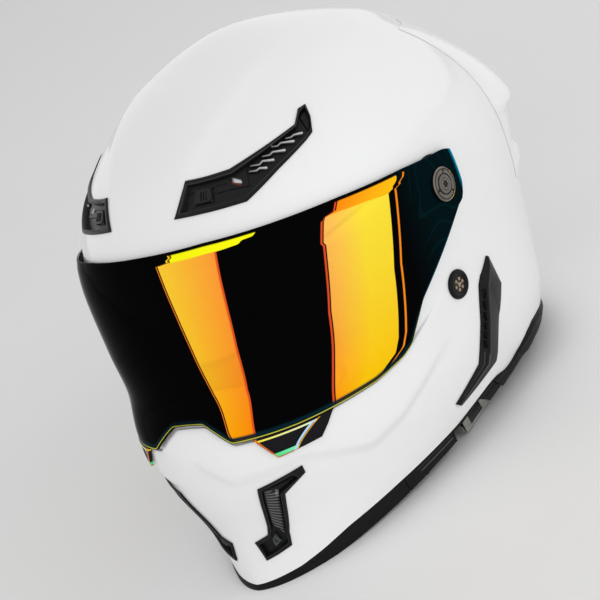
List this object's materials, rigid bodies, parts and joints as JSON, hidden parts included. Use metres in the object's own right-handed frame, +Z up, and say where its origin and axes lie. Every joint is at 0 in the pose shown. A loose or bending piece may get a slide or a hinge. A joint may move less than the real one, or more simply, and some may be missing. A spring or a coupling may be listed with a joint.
{
  "type": "full face motorcycle helmet",
  "caption": "White full face helmet with a mirrored visor that opens, sliding vents, a rear spoiler, pads and a chin strap with a sprung buckle.",
  "frame": {"origin": "on the surface that the helmet stands on, under the middle of its box", "axes": "+Z up, the wearer looks along -Y, the wearer's left is +X"},
  "size_m": [0.2578, 0.3583, 0.2721],
  "materials": {
    "shell_paint": "high gloss white lacquer",
    "vent_plastic": "satin moulded",
    "slider_plastic": "satin moulded",
    "rosette_bronze": "dark bronze, satin",
    "trim_rubber": "matte",
    "visor_mirror": "orange mirror coating over a smoked lens",
    "tab_plastic": "satin moulded",
    "pivot_plastic": "satin moulded",
    "pivot_metal": "satin turned",
    "liner_foam": "bead foam",
    "pad_cloth": "brushed knit",
    "strap_webbing": "woven",
    "buckle_metal": "brushed",
    "lever_plastic": "satin moulded"
  },
  "bodies": {
    "helmet": {"outer_shell": "shell_paint", "rear_spoiler": "shell_paint", "rear_exhaust": "vent_plastic", "brow_vent_left": "vent_plastic", "brow_vent_right": "vent_plastic", "chin_vent_left": "vent_plastic", "chin_vent_right": "vent_plastic", "side_vent_left": "vent_plastic", "side_vent_right": "vent_plastic", "anchor_cap_left": "rosette_bronze", "anchor_cap_right": "rosette_bronze", "chin_trim": "trim_rubber", "side_trim_left": "trim_rubber", "side_trim_right": "trim_rubber", "nape_trim": "trim_rubber", "eye_port_seal": "trim_rubber", "pivot_plate_left": "pivot_plastic", "pivot_plate_right": "pivot_plastic", "pivot_cap_left": "pivot_metal", "pivot_cap_right": "pivot_metal", "pivot_screw_left": "pivot_metal", "pivot_screw_right": "pivot_metal", "impact_liner": "liner_foam", "chin_liner": "liner_foam", "comfort_liner": "pad_cloth", "cheek_pad_left": "pad_cloth", "cheek_pad_right": "pad_cloth", "neck_roll": "pad_cloth", "breath_guard": "trim_rubber", "strap_left": "strap_webbing", "strap_right": "strap_webbing", "buckle_body": "buckle_metal", "buckle_tongue": "buckle_metal"},
    "visor": {"visor_lens": "visor_mirror", "visor_tab_left": "tab_plastic", "visor_tab_right": "tab_plastic"},
    "brow_slider_left": {"brow_slider_left": "slider_plastic"},
    "brow_slider_right": {"brow_slider_right": "slider_plastic"},
    "chin_slider_left": {"chin_slider_left": "slider_plastic"},
    "chin_slider_right": {"chin_slider_right": "slider_plastic"},
    "buckle_lever": {"buckle_lever": "lever_plastic"}
  },
  "joints": [
    {"name": "visor_pivot", "type": "hinge", "parent": "helmet", "child": "visor", "pos_m": [0, -0.00503, 0.15403], "axis": [-1, 0, 0], "range_deg": [0, 55]},
    {"name": "brow_slide_left", "type": "slide", "parent": "helmet", "child": "brow_slider_left", "axis": [0.9438, 0.3105, -0.1129], "range_m": [0, 0.006]},
    {"name": "chin_slide_left", "type": "slide", "parent": "helmet", "child": "chin_slider_left", "axis": [0.7563, 0.4092, 0.5105], "range_m": [0, 0.003]},
    {"name": "brow_slide_right", "type": "slide", "parent": "helmet", "child": "brow_slider_right", "axis": [-0.9438, 0.3105, -0.1129], "range_m": [0, 0.006]},
    {"name": "chin_slide_right", "type": "slide", "parent": "helmet", "child": "chin_slider_right", "axis": [-0.7563, 0.4092, 0.5105], "range_m": [0, 0.003]},
    {"name": "buckle_release", "type": "hinge", "parent": "helmet", "child": "buckle_lever", "pos_m": [0.07417, -0.02997, 0.0102], "axis": [0, 1, 0], "range_deg": [0, 35], "stiffness_Nm_per_rad": 0.01, "springref_deg": -17.19}
  ]
}
